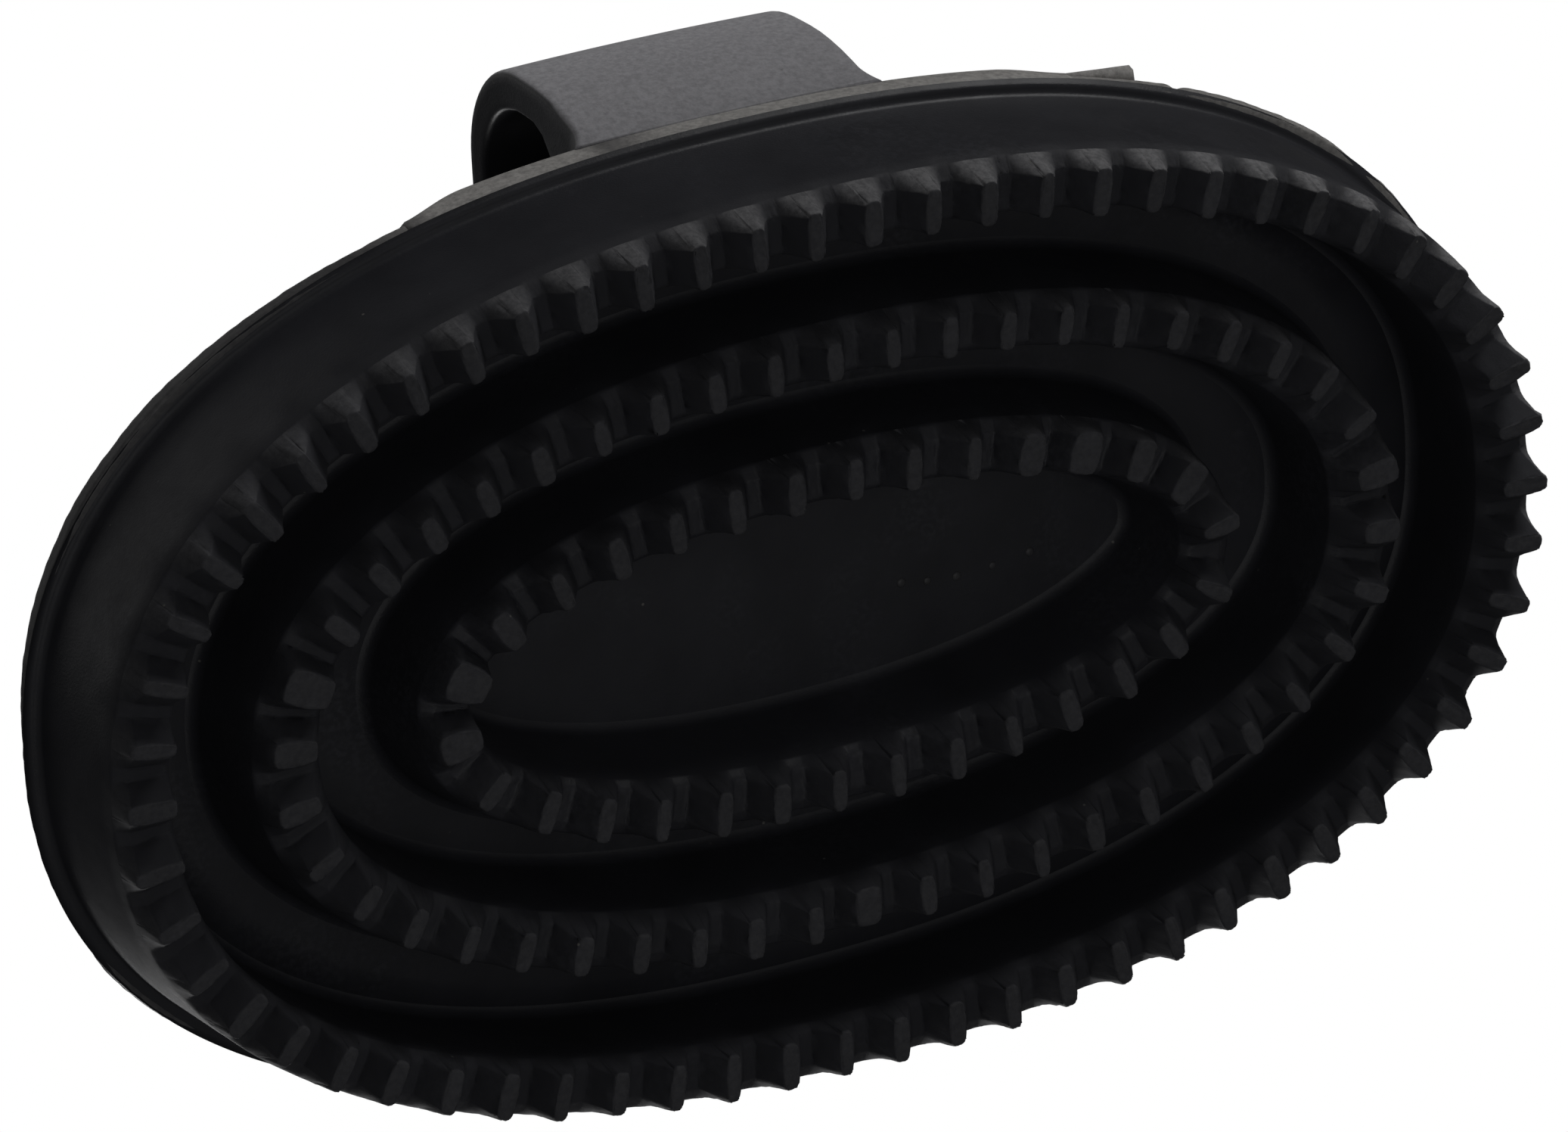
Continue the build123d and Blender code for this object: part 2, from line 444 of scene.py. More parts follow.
def tooth_rows(count, start, length, odd):
    """The rows of all the teeth of a ridge, and their places as shares of the way round."""
    rows, shares = [], []
    for number in range(count):
        short, wide, more_out, more_in = odd.get(number, (0.0, 0.0, 0.0, 0.0))
        height = TOOTH_HEIGHT - short + RNG.uniform(*HEIGHT_SPREAD)
        tip_half = TIP_HALF + wide + RNG.uniform(*TIP_HALF_SPREAD)
        lean = RNG.uniform(*LEAN_SPREAD)
        tilt = RNG.uniform(*TILT_SPREAD)
        grow_out, grow_in = RNG.uniform(*GROWTH_SPREAD, 2) + (more_out, more_in)
        skew = RNG.uniform(*SKEW_SPREAD)
        for along, rise in tooth_profile(length / count, height, tip_half, lean):
            shares.append((number + start) / count + along / length)
            rows.append(Row(along, rise, height, tip_half, lean, tilt, grow_out, grow_in, skew))
    return rows, np.array(shares)


def ridge_section(row, offsets, levels, tip_length, fillets):
    """A ridge's outline at one row: distance out from the line, and height.

    The other two results are how far from the line its top edges stand, outside and inside.
    """
    foot_out, shoulder_out, shoulder_in, foot_in = offsets
    foot, shoulder_z, crest_z, tip_z = levels
    outer_fillet, inner_fillet = fillets
    top = crest_z - row.rise
    up = row.rise / row.height
    reach = (shoulder_z - top) / (shoulder_z - tip_z)
    across = min(abs(row.along - row.lean) / row.tip_half, 0.999)
    pull = TIP_CORNER_PULL * across**4 * up
    tip_out = tip_length / 2 + row.grow_out
    tip_in = tip_length / 2 + row.grow_in
    outer = shoulder_out + (tip_out - shoulder_out) * reach - pull - NOTCH_INSET_OUT * (1 - up)
    inner = shoulder_in + (tip_in - shoulder_in) * reach - pull - NOTCH_INSET_IN * (1 - up)
    corners = [
        (foot_out + outer_fillet + 1.0, foot + SEAM),
        (foot_out + outer_fillet * 0.05, foot),
        (shoulder_out, shoulder_z),
        (outer, top + row.tilt * up),
        (-inner, top - row.tilt * up),
        (-shoulder_in, shoulder_z),
        (-foot_in, VALLEY_Z),
        (-foot_in - inner_fillet - 1.2, VALLEY_Z + SEAM),
    ]
    edge = EDGE_RADIUS - EDGE_SHARPENING * up
    radii = (outer_fillet, SHOULDER_RADIUS, edge, edge, SHOULDER_RADIUS, inner_fillet)
    path = rounded(corners, radii, ARC_STEPS)
    path = filled(path, SECTION_INSERTS)
    below = [(-foot_in - 0.5, foot + 0.6), (foot_out - 0.5, foot + 0.6)]
    return np.vstack([path, below]), outer, inner


def tip_slide(path, row, outer, inner, levels, tip_length):
    """How far each point of a section slides along the ridge.

    It makes each tip narrower towards its two ends, more at the outer one, and a little skewed.
    """
    shoulder_z, tip_z = levels[1], levels[3]
    outer_length, outer_share = OUTER_TAPER
    inner_length, inner_share = INNER_TAPER
    outer_end = np.clip((path[:, 0] - (outer - outer_length)) / outer_length, 0, 1) ** 2
    inner_end = np.clip((-path[:, 0] - (inner - inner_length)) / inner_length, 0, 1) ** 2
    above = np.clip((shoulder_z - path[:, 1]) / (shoulder_z - tip_z), 0, 1) ** 2
    taper = outer_share * outer_end + inner_share * inner_end
    slide = (row.lean - row.along) * taper * above
    return slide + row.skew * path[:, 0] / tip_length * above


def ridge_piece(
    name, nodes, line, count, start, widths, tip_length, tip_z, foot, fillets, facet_wear_and_sheen, odd
):
    """A ridge with its teeth cut into the crest, as one closed ring.

    line is the oval down the middle of the teeth: half length, half width and power. start is the
    first tooth's place past the +X end, as a share of the pitch. widths gives offsets from the
    line, at the ends and at the sides of the oval, as pairs: foot outside, shoulder outside, crest
    inside and foot inside. foot is the height of the outer foot, and fillets are the radii at the
    outer and the inner foot. facet_wear_and_sheen is how pale the outer faces of the teeth are
    painted, partly for rubbing and partly as a painted sheen. odd maps the number of a tooth that
    wore down or was badly filled to how much shorter, wider, and longer outwards and inwards its
    tip is.
    """
    crest_z = tip_z + TOOTH_HEIGHT
    shoulder_z = crest_z + SHOULDER_DROP
    levels = (foot, shoulder_z, crest_z, tip_z)
    half_length, half_width, power = line
    length = oval(half_length, half_width, power, 8)[2]
    rows, shares = tooth_rows(count, start, length, odd)
    points, normals, _ = oval(half_length, half_width, power, shares)
    tangents = np.column_stack([-normals[:, 1], normals[:, 0]])
    ends = normals[:, 0] ** 2
    foot_out, shoulder_out, crest_in, foot_in = (
        end * ends + side * (1 - ends) for end, side in widths
    )
    shoulder_in = crest_in + (foot_in - crest_in) * SHOULDER_DROP / (VALLEY_Z - crest_z)
    offsets = np.column_stack([foot_out, shoulder_out, shoulder_in, foot_in])
    # Painted highlight: the outer faces are painted paler towards the +X end, the side the light
    # falls on
    painted_light_towards_x = 0.55 + 0.45 * points[:, 0] / half_length
    rings, wear_and_sheen = [], []
    for index, row in enumerate(rows):
        path, outer, inner = ridge_section(row, offsets[index], levels, tip_length, fillets)
        slide = tip_slide(path, row, outer, inner, levels, tip_length)
        ring = points[index] + normals[index] * path[:, :1] + tangents[index] * slide[:, None]
        rings.append(np.column_stack([ring, path[:, 1]]))
        up = row.rise / row.height
        worn_and_sheen = np.zeros(len(path))
        worn_and_sheen[TOP_COLUMNS] = TIP_WEAR * np.clip((up - TIP_WEAR_START) / TIP_WEAR_BLEND, 0, 1)
        # The outer faces of the teeth are painted pale, partly for rubbing and partly as a painted
        # sheen, more towards the tips
        worn_and_sheen[FACET_COLUMNS] = facet_wear_and_sheen * painted_light_towards_x[index] * (0.12 + 0.88 * up)
        wear_and_sheen.append(worn_and_sheen)
    rings, wear_and_sheen = np.array(rings), np.array(wear_and_sheen)
    # Uneven skin where the tips were trimmed
    rings[:, :, 2] += RNG.normal(0, TIP_GRAIN, rings.shape[:2]) * (wear_and_sheen > TIP_WEAR / 2)
    # Rough skin on the teeth, from the crest's shoulders to the tips
    on_teeth = np.clip((shoulder_z - rings[:, :, 2]) / SHOULDER_DROP, 0, 1)
    rings += RNG.normal(0, TOOTH_GRAIN, rings.shape) * on_teeth[:, :, None]
    return grid_piece(name, rings, wear_and_sheen, nodes, TEETH)


def ridges():
    """The three toothed ridges."""
    ridge_piece(
        "outer_toothed_ridge",
        ("outer_ridge", "outer_teeth"),
        line=(78.1, 44.3, RIDGE_POWER),
        count=62,
        start=0.106,
        widths=((3.3, 4.5), (2.6, 3.4), (3.7, 2.6), (3.9, 2.6)),
        tip_length=5.0,
        tip_z=0.0,
        foot=FLANGE_Z,
        fillets=(0.8, 1.5),
        facet_wear_and_sheen=0.6,
        odd={31: (0.5, 0.2, 0.0, 0.0), 36: (0.0, 0.0, 0.2, 0.3), 52: (0.3, 0.1, 0.0, 0.0)},
    )
    ridge_piece(
        "middle_toothed_ridge",
        ("middle_ridge", "middle_teeth"),
        line=(62.0, 30.2, 2.18),
        count=46,
        start=0.416,
        widths=((4.2, 4.0), (2.9, 2.8), (4.3, 3.0), (4.8, 4.6)),
        tip_length=4.2,
        tip_z=1.5,
        foot=VALLEY_Z,
        fillets=(1.6, 1.5),
        facet_wear_and_sheen=0.08,
        odd={
            24: (0.2, 0.9, 0.4, 0.5),
            23: (0.1, 0.5, 0.3, 0.3),
            22: (0.3, 0.3, 0.0, 0.0),
            11: (0.9, 0.5, -0.6, 0.3),
            45: (0.3, 0.5, 0.2, 0.0),
            0: (0.2, 0.4, 0.0, 0.0),
        },
    )
    ridge_piece(
        "inner_toothed_ridge",
        ("inner_ridge", "inner_teeth"),
        line=(43.5, 16.6, 2.2),
        count=30,
        start=0.76,
        widths=((4.0, 4.1), (2.8, 2.8), (2.9, 2.9), (3.9, 5.0)),
        tip_length=4.6,
        tip_z=2.6,
        foot=VALLEY_Z,
        fillets=(1.6, 1.4),
        facet_wear_and_sheen=0.08,
        odd={
            15: (0.3, 1.2, -0.1, 0.2),
            14: (0.3, 0.6, 0.0, 0.0),
            16: (0.2, 0.3, 0.0, 0.0),
            25: (0.1, 0.5, 0.0, 0.3),
            26: (0.2, 0.8, 0.0, 0.0),
            27: (0.3, 0.4, 0.0, 0.0),
            28: (0.4, 0.6, 0.0, 0.0),
        },
    )


# ---------------------------------------------------------------- back plate and floor


def stacked_ovals(name, layers, power, count, nodes, ragged=None, wear_and_sheen_scale=1.0):
    """A closed solid from ovals, from its middle to its middle, in body rubber.

    Each layer is a half length, half width, height and a paleness, for scuffs and painted sheen.
    Where a layer's paleness is above 0, its outline moves out by ragged, and its paleness is scaled
    by rub.
    """
    rings, wear_and_sheen = [], []
    for half_length, half_width, height, worn_and_sheen in layers:
        points, normals, _ = oval(half_length, half_width, power, count)
        if ragged is not None and worn_and_sheen > 0:
            points = points + normals * ragged[:, None]
        rings.append(np.column_stack([points, np.full(count, height)]))
        wear_and_sheen.append(np.full(count, worn_and_sheen) * wear_and_sheen_scale)
    rings = np.array(rings).transpose(1, 0, 2)
    wear_and_sheen = np.array(wear_and_sheen).T
    return grid_piece(name, rings, wear_and_sheen, nodes, BODY, poles=True)


def smooth_noise(count, waves, seed):
    """A closed random wave round a ring, made of a few sines."""
    local = np.random.default_rng(seed)
    angle = np.arange(count) / count * 2 * math.pi
    total = np.zeros(count)
    for wave in waves:
        total += math.sqrt(1 / len(waves)) * np.sin(wave * angle + local.uniform(0, 2 * math.pi))
    return total


# Places where the trimmed rim dips in: x, side of the comb, half width and depth
RIM_DENTS = (
    (50.0, -1, 0.6, 0.35),
    (71.0, -1, 1.6, 0.3),
    (-79.0, 1, 2.2, 0.45),
    (-62.0, 1, 9.0, 0.35),
)
RIM_POINTS = 1440
# How pale the trimmed edge is painted: some chalky trimming, and a painted reflection along the
# front
RIM_WEAR_AND_SHEEN = 0.8
# How much longer at each end the rim is than its CAD node
RIM_GROWTH = 0.2
# The random wavers of the trimmed edge: how large, their waves round the rim, and their seed
RIM_WAVERS = ((0.05, (7, 13, 29, 41), 4), (0.025, (83, 121, 177, 263), 5))


def back():
    """The rim flange and the back, with a trimmed edge that wavers a little."""
    length, width = BACK_HIGH[0] + RIM_GROWTH, BACK_HIGH[1]
    ragged = sum(size * smooth_noise(RIM_POINTS, waves, seed) for size, waves, seed in RIM_WAVERS)
    outline, _, _ = oval(length, width, RIM_POWER, RIM_POINTS)
    for x, side, spread, depth in RIM_DENTS:
        same_side = np.sign(outline[:, 1]) == side
        ragged -= depth * np.exp(-(((outline[:, 0] - x) / spread) ** 2)) * same_side
    # Painted reflection: the trimmed edge is painted palest along the front, from the pad to the +X
    # end, over a slight paleness all round
    wear_and_sheen_scale = 0.2 + 0.8 * np.clip((outline[:, 0] + 44) / 10, 0, 1) * np.clip(-outline[:, 1] / 6, 0, 1)
    inner_shares = (0.02, 0.2, 0.4, 0.6, 0.8, 0.94)
    layers = [(length * share, width * share, BACK_Z, 0.0) for share in inner_shares]
    edge = rounded(
        [(-3.0, BACK_Z), (0.0, BACK_Z), (-0.1, FLANGE_Z + 0.1), (-3.0, FLANGE_Z)],
        (0.45, 0.4),
        (5, 5),
    )
    edge = filled(edge, {6: 3})
    for inset, height in edge:
        worn_and_sheen = RIM_WEAR_AND_SHEEN if inset > -0.6 else 0.0
        layers.append((length + inset, width + inset, height, worn_and_sheen))
    layers += [(length * share, width * share, FLANGE_Z, 0.0) for share in (0.9, 0.5, 0.02)]
    return stacked_ovals(
        "back_and_rim", layers, RIM_POWER, RIM_POINTS, ("back_plate",), ragged, wear_and_sheen_scale
    )


# The web runs on under the outer ridge
WEB_HALF_LENGTH = 76.0
WEB_HALF_WIDTH = 43.0
WEB_POINTS = 480


def floor_web():
    """The web that closes the valleys and the centre recess."""
    levels = [(share, VALLEY_Z) for share in (0.02, 0.15, 0.3, 0.45, 0.6, 0.75, 0.9, 1.0)]
    levels += [(share, FLANGE_Z + 0.3) for share in (1.0, 0.5, 0.02)]
    layers = [
        (WEB_HALF_LENGTH * share, WEB_HALF_WIDTH * share, height, 0.0) for share, height in levels
    ]
    return stacked_ovals("valley_web", layers, RIDGE_POWER, WEB_POINTS, ("valley_floor",))


# Places of the five mould marks, and each mark's layers as a share of its radius and a rise
PIP_PLACES = ((13.2, 1.9), (16.2, 2.4), (19.6, 2.7), (23.8, 2.5), (28.2, 2.0))
PIP_LAYERS = ((1.0, -0.3), (1.0, 0.0), (0.8, 0.13), (0.4, 0.2))
PIP_SIDES = 16
PIP_WEAR = 0.06


def pips():
    """Five tiny raised mould marks in a row on the floor of the centre recess."""
    vertices, faces = [], []
    for number, (x, y) in enumerate(PIP_PLACES):
        radius = 0.55 - 0.06 * (number % 2)
        first = len(vertices)
        for share, rise in PIP_LAYERS:
            for turn in np.arange(PIP_SIDES) / PIP_SIDES * 2 * math.pi:
                out = radius * share
                height = VALLEY_Z + 0.02 - rise
                vertices.append((x + out * math.cos(turn), y + out * math.sin(turn), height))
        for layer in range(len(PIP_LAYERS) - 1):
            low = first + layer * PIP_SIDES
            high = low + PIP_SIDES
            for side in range(PIP_SIDES):
                following = (side + 1) % PIP_SIDES
                faces.append([low + following, low + side, high + side, high + following])
        last = len(vertices) - PIP_SIDES
        faces.append([first + side for side in range(PIP_SIDES)])
        faces.append([last + side for side in range(PIP_SIDES)][::-1])
    wear_and_sheen = np.full(len(vertices), PIP_WEAR)
    return solid_piece("floor_pips", vertices, faces, wear_and_sheen, (), BODY)


# The sliver of flash: places along the rim and how far it stands out there
FLASH_REACH = ((36.5, 0.05), (39.0, 0.35), (41.5, 0.7), (43.5, 1.05), (44.9, 1.3), (45.3, 0.9))


def rim_flash():
    """A sliver of moulding flash left standing on the rim's trimmed edge."""
    length = BACK_HIGH[0] + RIM_GROWTH
    vertices = []
    for x, reach in FLASH_REACH:
        y = -rim_side(x, length, BACK_HIGH[1])
        lift = 0.35 * reach
        vertices += [
            (x, y + 0.7, BACK_Z - 0.35),
            (x + 0.1 * reach, y - reach, BACK_Z - 0.16 + lift),
            (x + 0.1 * reach, y - reach, BACK_Z - 0.02 + lift),
            (x, y + 0.7, BACK_Z - 0.05),
        ]
    count = len(vertices)
    faces = [[0, 1, 2, 3], [count - 1, count - 2, count - 3, count - 4]]
    faces += [[b, a, d, c] for a, b, c, d in tube_faces(len(FLASH_REACH), 4)]
    wear_and_sheen = np.full(count, 1.0)
    return solid_piece("rim_flash", vertices, faces, wear_and_sheen, (), BODY)


# ---------------------------------------------------------------- hand strap

STRAP_HALF_WIDTH = 16.0
STRAP_CORNER = 12.5
KNEE_Z = 31.5
KNEE_RADIUS = 28.0
LEG_WALL = 4.2
CROWN_WALL = 2.9
# The wall thins towards the crown, from this far along the strap and over this length
LEG_END = 20.0
WALL_BLEND = 22.0
# Each leg is a little wider over this distance from its root
ROOT_EXTRA = 0.4
ROOT_REACH = 20.0
# At its foot it also spreads, where it runs into the pad
FOOT_REACH = 3.4
FOOT_SPREAD = 1.1
# Inside, each leg thickens towards the back along an arc that starts this high, and then evenly
HEEL_Z = 37.3
HEEL_RADIUS = 8.3
HEEL_DEPTH = 6.2
HEEL_SLOPE = 0.35
# The shallow groove along one edge of the outer face, and how much that face swells in the middle
GROOVE_INSET = 2.6
GROOVE_HALF = 0.3
GROOVE_DEPTH = 0.14
SWELL = 0.25
# Painted sheen: how pale the outer face is painted at the root, and how far from there it is at its
# palest
ROOT_PAINTED_SHEEN = 0.52
PALE_REACH = 26.0
EDGE_WEAR = 0.08


def wall_growth(height):
    """How much thicker a strap leg is at a height than its plain wall."""
    drop = min(max(HEEL_Z - height, 0.0), HEEL_DEPTH)
    growth = HEEL_RADIUS - math.sqrt(HEEL_RADIUS**2 - drop**2)
    return growth + HEEL_SLOPE * max(HEEL_Z - HEEL_DEPTH - height, 0.0)


def strap_line():
    """The strap's outer face seen along X, from the front root over the crown to the rear root."""
    crown = span("strap_crown")[1]
    reach, top = crown[1] + 0.1, crown[2] + 0.2
    root = (BACK_HIGH[1] - 0.05, PAD_Z - 0.7)
    half_path = [root, (reach, KNEE_Z), (reach, top)]
    path = [(-y, z) for y, z in half_path] + half_path[::-1]
    radii = (KNEE_RADIUS, STRAP_CORNER, STRAP_CORNER, KNEE_RADIUS)
    line = rounded(path, radii, (4, 16, 16, 4), most=0.7)
    return filled(line, {0: 14, 5: 6, 22: 60, 39: 6, 44: 16})


def strap_section(half, thickness, waver):
    """The strap's closed section: place across it, and depth below its outer face."""
    corners = [
        (0.0, 0.0),
        (half + waver, 0.0),
        (half - 0.25, thickness),
        (-half + 0.25, thickness),
        (-half, 0.0),
        (0.0, 0.0),
    ]
    section = rounded(corners, (0.8, 0.6, 0.6, 0.7), (5, 4, 4, 5))
    return filled(section, {0: 11, 6: 3, 11: 11, 16: 3, 22: 11})[:-1]


def strap():
    """The hand strap as one sweep: front leg, round corner, crown, round corner, rear leg."""
    line = strap_line()
    step = np.linalg.norm(np.diff(line, axis=0), axis=1)
    distance = np.concatenate([[0], np.cumsum(step)])
    tangent = np.gradient(line, axis=0)
    tangent /= np.linalg.norm(tangent, axis=1)[:, None]
    inward = np.column_stack([tangent[:, 1], -tangent[:, 0]])
    rings, wear_and_sheen_rows = [], []
    for (y, z), way, place in zip(line, inward, distance):
        from_root = min(place, distance[-1] - place)
        to_crown = np.clip((from_root - LEG_END) / WALL_BLEND, 0, 1)
        thickness = LEG_WALL + (CROWN_WALL - LEG_WALL) * to_crown + wall_growth(z)
        half = STRAP_HALF_WIDTH + ROOT_EXTRA * np.clip(1 - from_root / ROOT_REACH, 0, 1)
        half += FOOT_SPREAD * (max(FOOT_REACH - from_root, 0.0) / FOOT_REACH) ** 2
        waver = 0.1 * math.sin(place / 5.3) + 0.06 * math.sin(place / 2.1 + 1)
        section = strap_section(half, thickness, waver)
        across = section[:, 0]
        outer_face = section[:, 1] < 0.3
        groove = np.exp(-(((across + half - GROOVE_INSET) / GROOVE_HALF) ** 2)) * outer_face
        swell = SWELL * (1 - (across / half) ** 2) * outer_face
        depth = section[:, 1] + GROOVE_DEPTH * groove - swell
        rings.append(np.column_stack([across, y + depth * way[0], z + depth * way[1]]))
        edge = (np.abs(across) > half - 0.6) & (section[:, 1] < 1.0)
        # The outer face is painted pale, a painted sheen over a dusty surface, darkest at the
        # roots; the edges of the other faces get a little scuffing
        pale = ROOT_PAINTED_SHEEN + (1 - ROOT_PAINTED_SHEEN) * np.clip(from_root / PALE_REACH, 0, 1)
        wear_and_sheen_rows.append(np.where(outer_face, pale, EDGE_WEAR * edge))
    rings = np.array(rings)
    rows, columns = rings.shape[:2]
    faces = tube_faces(rows, columns)
    faces.append(list(range(columns))[::-1])
    faces.append([(rows - 1) * columns + column for column in range(columns)])
    return solid_piece(
        "hand_strap",
        rings.reshape(-1, 3),
        faces,
        np.ravel(wear_and_sheen_rows),
        ("strap_leg_front", "strap_leg_rear", "strap_crown"),
        STRAP,
    )


# How far a pad reaches past its CAD node at each end, and how far its slanted ends run
PAD_OVERHANG = 4.6
PAD_SLANT = 10.0
# Length of the slope that brings its ends down into the back
PAD_SLOPE = 8.0
# How much larger the oval that it follows is than the rim
PAD_GROWTH = (0.3, 0.16)
# Its layers from inside the back upwards: how far in, height, and how pale the sides are painted,
# partly scuffs and partly painted sheen
PAD_LAYERS = (
    (0.3, BACK_Z - 1.7, 1.0),
    (0.0, BACK_Z - 1.5, 1.0),
    (0.0, BACK_Z + 0.6, 1.0),
    (0.02, BACK_Z + 1.5, 1.0),
    (0.06, PAD_Z - 0.45, 1.0),
    (0.2, PAD_Z - 0.16, 0.8),
    (0.45, PAD_Z, 0.3),
    (1.2, PAD_Z + 0.05, 0.0),
    (3.0, PAD_Z + 0.05, 0.0),
)


def pad_outline(side, half, inner):
    """A pad seen from above: along the rim, then back along its slanted ends and inner side."""
    along = np.linspace(-half + 0.8, half - 0.8, 181)
    outer_y = rim_side(along, BACK_HIGH[0] + PAD_GROWTH[0], BACK_HIGH[1] + PAD_GROWTH[1])
    corners = [
        (half - 0.1, outer_y[-1] - 0.6),
        (half - PAD_SLANT, inner),
        (-half + PAD_SLANT, inner),
        (-half + 0.1, outer_y[0] - 0.6),
    ]
    rear = filled(rounded(corners, (3.0, 3.0), (6, 6)), {0: 8, 7: 24, 14: 8})
    outline = np.vstack([np.column_stack([along, outer_y]), rear])
    outline[:, 1] *= side
    return outline


def pad(side, node):
    """A thickened pad along the rim under a strap leg, flush with the rim and with soft edges."""
    low, high = span(node)
    half = high[0] + PAD_OVERHANG
    inner = abs(low[1] if side > 0 else high[1])
    middle = inner + 1.0
    x, y = pad_outline(side, half, inner).T
    rings, wear_and_sheen_rows = [], []
    for inset, height, worn_and_sheen in PAD_LAYERS:
        ring_x = x - np.sign(x) * inset * np.clip(np.abs(x) / (half - 6), 0, 1) ** 4
        ring_y = y - side * inset * np.clip((np.abs(y) - middle) / 2.0, -1, 1)
        # The pad's ends slope down into the back
        share = np.clip((half - np.abs(ring_x)) / PAD_SLOPE, 0.0, 1.0)
        slope = share * share * (3 - 2 * share)
        sloped = BACK_Z + (height - BACK_Z) * (0.06 + 0.94 * slope)
        level = np.where(height > BACK_Z, sloped, height)
        rings.append(np.column_stack([ring_x, ring_y, level]))
        # The pad's sides are painted pale as scuffs and painted sheen, less so where its ends slope
        # down
        wear_and_sheen_rows.append(worn_and_sheen * (0.4 + 0.6 * slope))
    rings = np.array(rings).transpose(1, 0, 2)
    if side < 0:
        # Mirroring turned the faces inwards. Only the points are reversed, the wear keeps its order
        rings = rings[::-1]
    wear_and_sheen_rows = np.array(wear_and_sheen_rows).T
    return grid_piece(node + "_rubber", rings, wear_and_sheen_rows, (node,), BODY, poles=True)


# ---------------------------------------------------------------- studio


# The camera fitted to the photograph. Azimuth 0 is the -Y side; angles are in degrees
CAMERA_AZIMUTH = -47.41
CAMERA_ELEVATION = -55.87
CAMERA_ROLL = -55.77
CAMERA_DISTANCE = 1.036
CAMERA_TARGET = (-0.00464, -0.00725, 0.00727)
CAMERA_LENS = 236.7
SENSOR_WIDTH = 36.0
# Softboxes: name, direction from the comb, distance, side and radiance
SOFTBOXES = (
    ("key_box", (0.58, -0.81, 0.02), 1.0, 0.4, 8.0),
    ("left_box", (-0.35, -0.22, 0.91), 1.0, 0.9, 0.4),
    ("low_box", (0.33, 0.44, 0.84), 1.0, 0.8, 0.16),
    ("rear_box", (-0.1, 0.86, 0.5), 1.0, 0.4, 7.0),
    ("front_box", (-0.15, -0.12, -0.98), 1.4, 1.3, 0.62),
)
SOFTBOX_CENTRE = (0, 0, 0.012)
# The surround's light on the comb, from the first strength to the second as directions rise
SURROUND_FADE = (("From Min", -0.3), ("From Max", 0.6), ("To Min", 0.13), ("To Max", 0.02))
FLOOR_HALF = 3.0
FLOOR_Z = -0.0004
FLOOR_CORNERS = ((-1, -1), (1, -1), (1, 1), (-1, 1))


def viewpoint():
    """The camera, placed round its target."""
    scene = bpy.context.scene
    camera = bpy.data.cameras.new("camera")
    camera.sensor_width = SENSOR_WIDTH
    camera.lens = CAMERA_LENS
    camera.clip_start, camera.clip_end = 0.05, 20
    viewer = bpy.data.objects.new("camera", camera)
    scene.collection.objects.link(viewer)
    a, e = math.radians(CAMERA_AZIMUTH), math.radians(CAMERA_ELEVATION)
    back_way = Vector((math.sin(a) * math.cos(e), -math.cos(a) * math.cos(e), math.sin(e)))
    viewer.location = Vector(CAMERA_TARGET) + back_way * CAMERA_DISTANCE
    viewer.rotation_mode = "QUATERNION"
    turn = Quaternion((0, 0, 1), math.radians(CAMERA_ROLL))
    viewer.rotation_quaternion = (-back_way).to_track_quat("-Z", "Y") @ turn
    scene.camera = viewer


def softbox(name, way, distance, side, radiance):
    """A square softbox that stands in the direction way from the comb and faces it."""
    light = bpy.data.lights.new(name, "AREA")
    light.shape = "RECTANGLE"
    light.size, light.size_y = side, side
    light.energy = math.pi * side * side * radiance
    thing = bpy.data.objects.new(name, light)
    bpy.context.scene.collection.objects.link(thing)
    way = Vector(way).normalized()
    thing.location = way * distance + Vector(SOFTBOX_CENTRE)
    thing.rotation_mode = "QUATERNION"
    thing.rotation_quaternion = way.to_track_quat("Z", "Y")
    thing.visible_camera = False


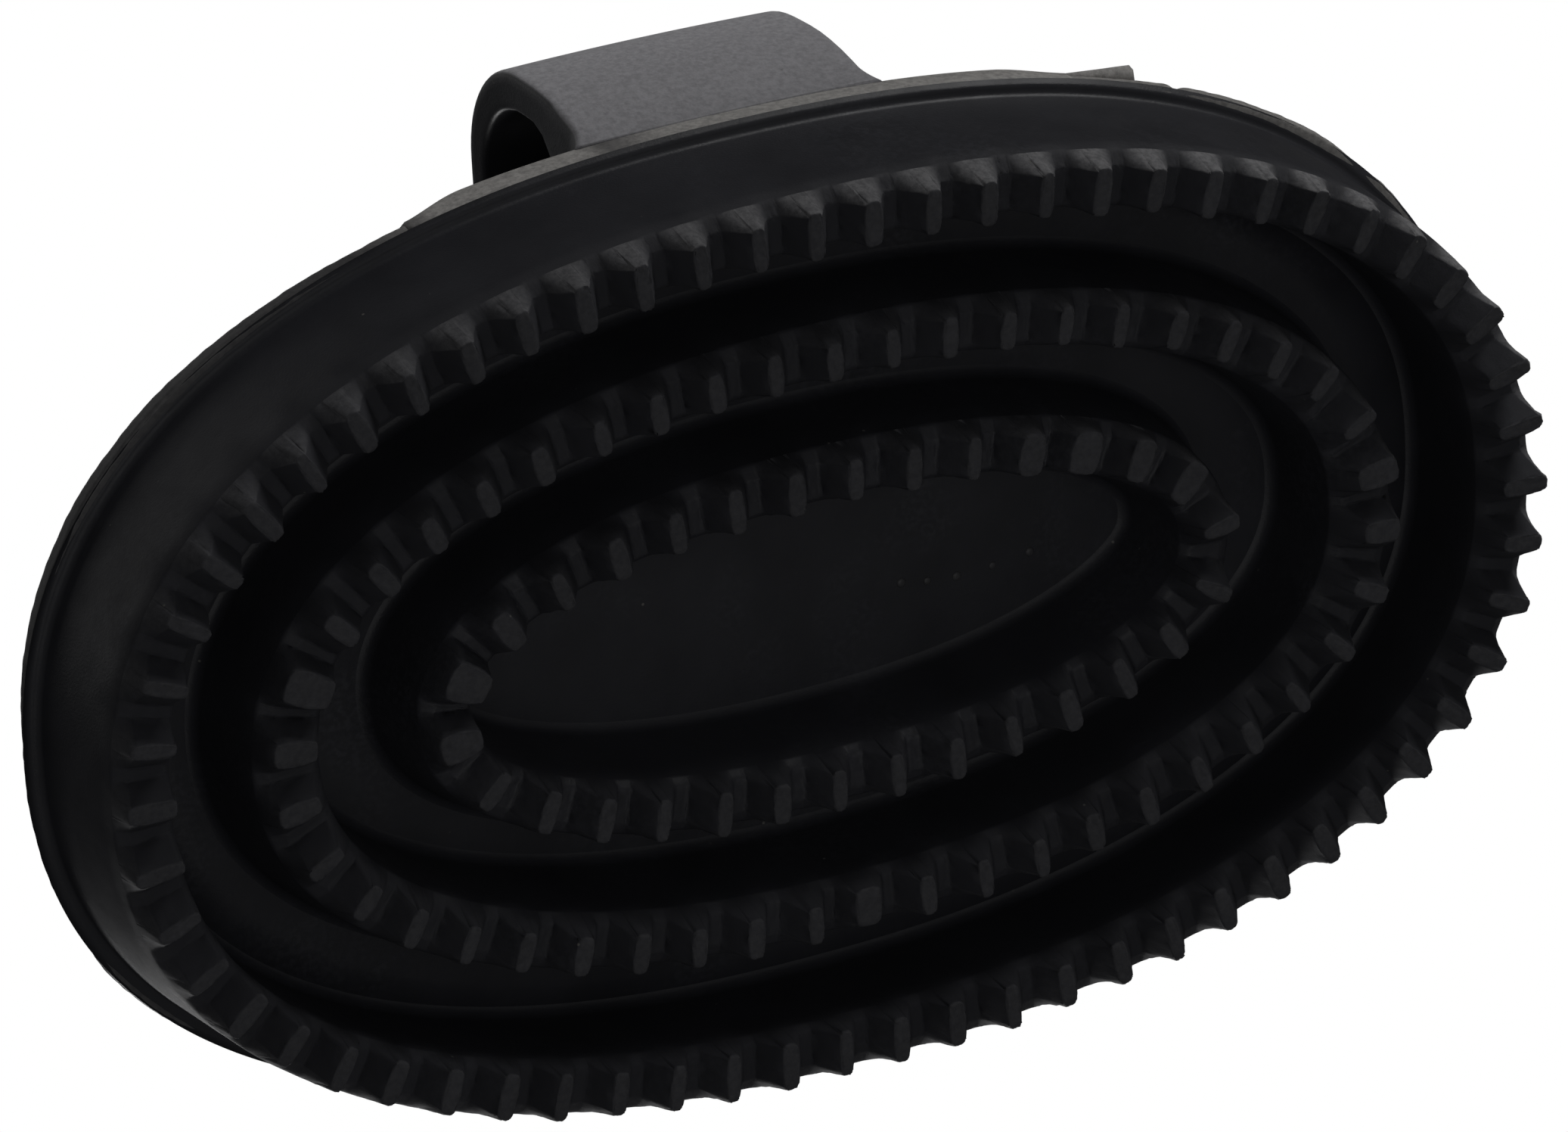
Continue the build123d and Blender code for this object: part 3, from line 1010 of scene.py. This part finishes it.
def surround():
    """A surround that is white to the camera and lights the comb only faintly."""
    world = bpy.data.worlds.new("surround")
    bpy.context.scene.world = world
    world.use_nodes = True
    nodes, links = world.node_tree.nodes, world.node_tree.links
    dim = nodes["Background"]
    dim.inputs["Color"].default_value = (1, 1, 1, 1)
    height = nodes.new("ShaderNodeSeparateXYZ")
    links.new(nodes.new("ShaderNodeTexCoord").outputs["Generated"], height.inputs["Vector"])
    fade = nodes.new("ShaderNodeMapRange")
    for socket, value in SURROUND_FADE:
        fade.inputs[socket].default_value = value
    links.new(height.outputs["Z"], fade.inputs["Value"])
    links.new(fade.outputs["Result"], dim.inputs["Strength"])
    white = nodes.new("ShaderNodeBackground")
    white.inputs["Color"].default_value = (1, 1, 1, 1)
    white.inputs["Strength"].default_value = 1.0
    seen = nodes.new("ShaderNodeLightPath")
    mixed = nodes.new("ShaderNodeMixShader")
    links.new(seen.outputs["Is Camera Ray"], mixed.inputs["Fac"])
    links.new(dim.outputs["Background"], mixed.inputs[1])
    links.new(white.outputs["Background"], mixed.inputs[2])
    links.new(mixed.outputs["Shader"], nodes["World Output"].inputs["Surface"])


def floor_paint():
    """Pale paint that is clear from below, so that the floor doesn't hide the comb from there."""
    paint = bpy.data.materials.new("pale_floor")
    paint.use_nodes = True
    nodes, links = paint.node_tree.nodes, paint.node_tree.links
    shader = nodes["Principled BSDF"]
    shader.inputs["Base Color"].default_value = (0.85, 0.85, 0.84, 1)
    shader.inputs["Roughness"].default_value = 0.8
    clear = nodes.new("ShaderNodeBsdfTransparent")
    side = nodes.new("ShaderNodeNewGeometry")
    choice = nodes.new("ShaderNodeMixShader")
    links.new(side.outputs["Backfacing"], choice.inputs["Fac"])
    links.new(shader.outputs["BSDF"], choice.inputs[1])
    links.new(clear.outputs["BSDF"], choice.inputs[2])
    links.new(choice.outputs["Shader"], nodes["Material Output"].inputs["Surface"])
    return paint


def studio():
    """Camera, softboxes, surround and floor."""
    scene = bpy.context.scene
    viewpoint()
    for box in SOFTBOXES:
        softbox(*box)
    surround()

    floor_mesh = bpy.data.meshes.new("floor")
    corners = [(x * FLOOR_HALF, y * FLOOR_HALF, FLOOR_Z) for x, y in FLOOR_CORNERS]
    floor_mesh.from_pydata(corners, [], [(0, 1, 2, 3)])
    floor = bpy.data.objects.new("floor", floor_mesh)
    scene.collection.objects.link(floor)
    floor.visible_shadow = False
    floor.visible_diffuse = False
    floor.visible_glossy = False
    floor_mesh.materials.append(floor_paint())

    scene.view_settings.view_transform = "Standard"
    scene.view_settings.look = "None"


ridges()
back()
floor_web()
pips()
rim_flash()
strap()
pad(-1, "strap_pad_front")
pad(1, "strap_pad_rear")
studio()
